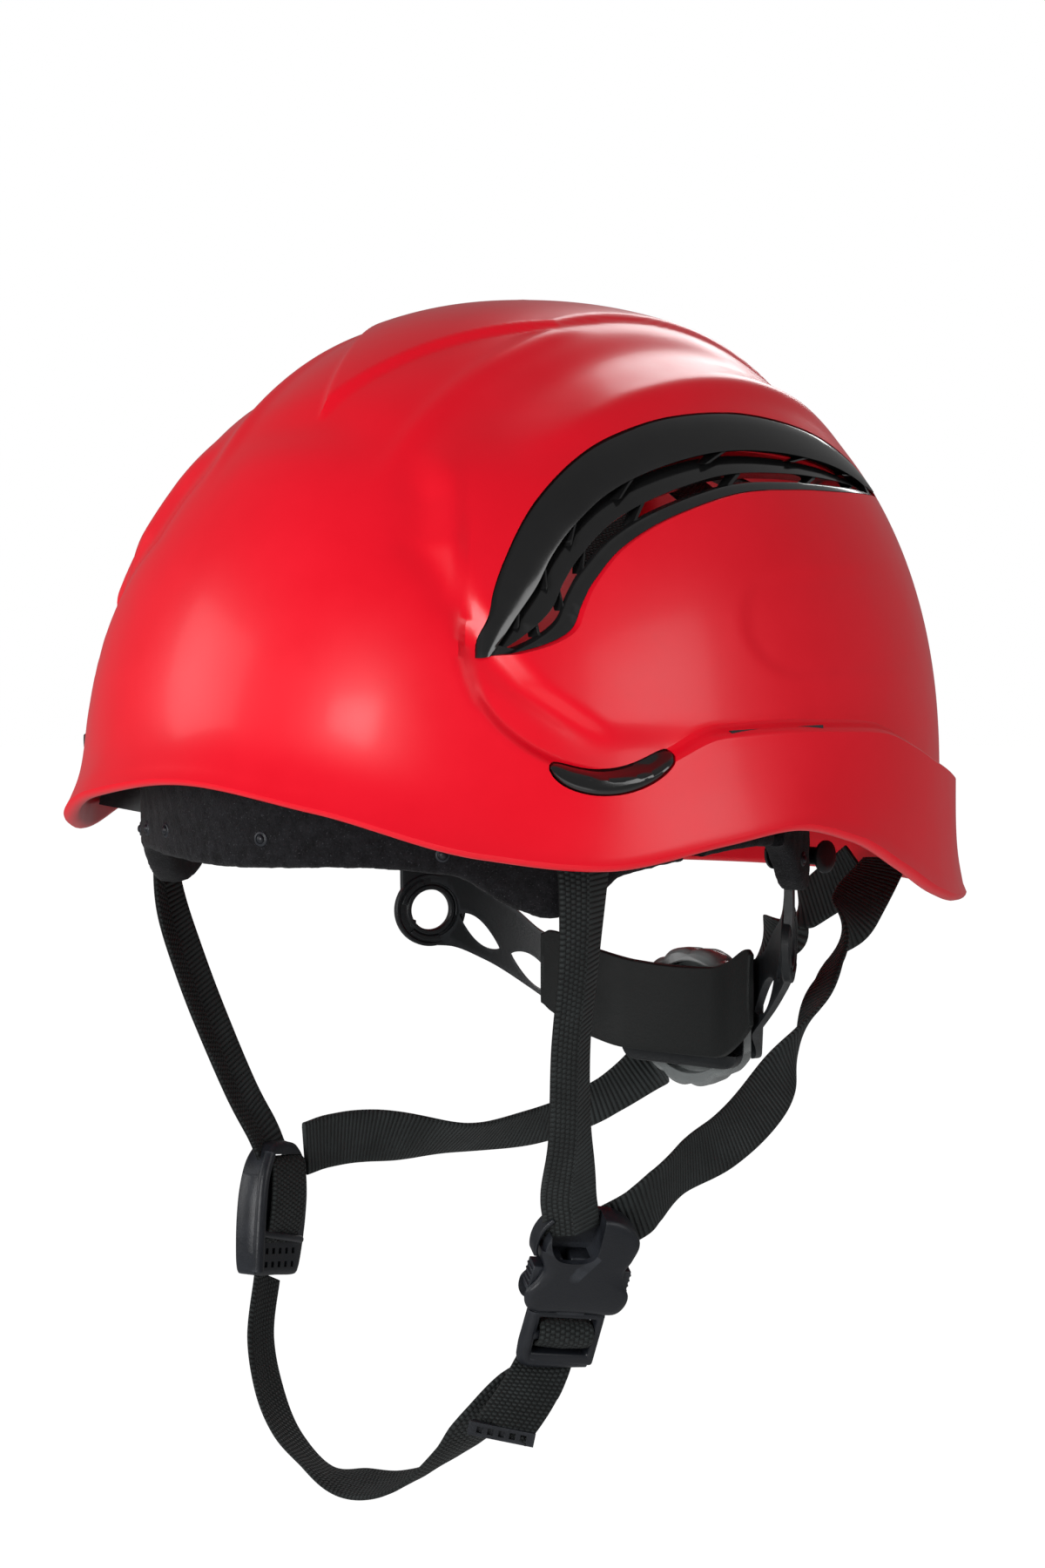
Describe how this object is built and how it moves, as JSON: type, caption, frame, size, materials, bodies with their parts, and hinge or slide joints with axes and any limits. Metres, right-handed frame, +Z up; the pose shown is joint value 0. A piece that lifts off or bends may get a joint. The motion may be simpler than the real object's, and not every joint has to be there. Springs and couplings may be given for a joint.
{
  "type": "climbing helmet",
  "caption": "Vented climbing helmet with a textile cradle, fleece headband, geared nape adjuster and a webbing chin harness.",
  "frame": {"origin": "centre of the head opening, level with the middle of the shell's rim", "axes": "-Y the way the wearer faces, +X the wearer's left, +Z up"},
  "size_m": [0.224, 0.2671, 0.3187],
  "materials": {
    "red_shell": "satin gloss moulded shell",
    "vent_black": "polished black moulding",
    "black_plastic": "satin black moulding",
    "buckle_plastic": "satin blue-black moulding",
    "black_fleece": "short fleece",
    "black_webbing": "ribbed flat webbing",
    "knob_grey": "smoked translucent moulding",
    "spring_steel": "spring temper"
  },
  "bodies": {
    "helmet": {"shell": "red_shell", "vent_grille_left": "vent_black", "vent_grille_right": "vent_black", "lamp_clip_left": "vent_black", "lamp_clip_right": "vent_black", "ear_socket_left": "black_plastic", "ear_socket_right": "black_plastic", "headband": "black_plastic", "brow_fleece": "black_fleece", "temple_fleece_left": "black_fleece", "temple_fleece_right": "black_fleece", "rear_fleece_left": "black_fleece", "rear_fleece_right": "black_fleece", "cradle_hanger_1": "black_plastic", "cradle_hanger_2": "black_plastic", "cradle_hanger_3": "black_plastic", "cradle_hanger_4": "black_plastic", "cradle_hanger_5": "black_plastic", "cradle_hanger_6": "black_plastic", "cradle_strap_1": "black_webbing", "cradle_strap_2": "black_webbing", "cradle_strap_3": "black_webbing", "crown_pad": "black_fleece", "front_anchor_left": "black_plastic", "front_anchor_right": "black_plastic", "rear_anchor": "black_plastic", "front_strap_left": "black_webbing", "front_strap_right": "black_webbing", "rear_strap_left": "black_webbing", "rear_strap_right": "black_webbing", "chin_strap": "black_webbing", "buckle_body": "buckle_plastic", "adjuster_body": "buckle_plastic"},
    "nape": {"nape_pad": "black_plastic", "ratchet_housing": "black_plastic", "detent_spring": "spring_steel"},
    "knob": {"nape_knob": "knob_grey", "pinion": "black_plastic"},
    "arm_left": {"nape_arm_left": "black_plastic", "pivot_stud_left": "black_plastic"},
    "arm_right": {"nape_arm_right": "black_plastic", "pivot_stud_right": "black_plastic"},
    "tongue": {"buckle_tongue": "buckle_plastic", "strap_tail": "black_webbing"},
    "prong_left": {"buckle_prong_left": "buckle_plastic"},
    "prong_right": {"buckle_prong_right": "buckle_plastic"},
    "lock": {"adjuster_lock": "buckle_plastic"}
  },
  "joints": [
    {"name": "nape_tilt", "type": "hinge", "parent": "helmet", "child": "nape", "pos_m": [0, 0.0347, -0.0175], "axis": [1, 0, 0], "range_deg": [-10, 6]},
    {"name": "knob_turn", "type": "hinge", "parent": "nape", "child": "knob", "pos_m": [0, 0.0728, -0.0715], "axis": [0, -1, 0], "range_deg": [-8, 44]},
    {"name": "arm_left_slide", "type": "slide", "parent": "nape", "child": "arm_left", "axis": [-1, 0, 0], "range_m": [-0.001, 0.0035]},
    {"name": "arm_right_slide", "type": "slide", "parent": "nape", "child": "arm_right", "axis": [1, 0, 0], "range_m": [-0.001, 0.0035]},
    {"name": "buckle_release", "type": "slide", "parent": "helmet", "child": "tongue", "axis": [-0.3968, 0.1201, -0.91], "range_m": [0, 0.014], "deforming": ["chin_strap"]},
    {"name": "prong_left_squeeze", "type": "slide", "parent": "tongue", "child": "prong_left", "axis": [0.5184, 0.8475, -0.1142], "range_m": [0, 0.0016], "stiffness_N_per_m": 1500},
    {"name": "prong_right_squeeze", "type": "slide", "parent": "tongue", "child": "prong_right", "axis": [-0.5184, -0.8475, 0.1142], "range_m": [0, 0.0016], "stiffness_N_per_m": 1500},
    {"name": "lock_lift", "type": "hinge", "parent": "helmet", "child": "lock", "pos_m": [-0.06318, -0.03564, -0.11165], "axis": [-0.1684, 0.9757, -0.14], "range_deg": [0, 60]}
  ],
  "couplings": [
    {"joint": "arm_left_slide", "follows": "knob_turn", "m_per_rad": 0.0045},
    {"joint": "arm_right_slide", "follows": "knob_turn", "m_per_rad": 0.0045}
  ]
}
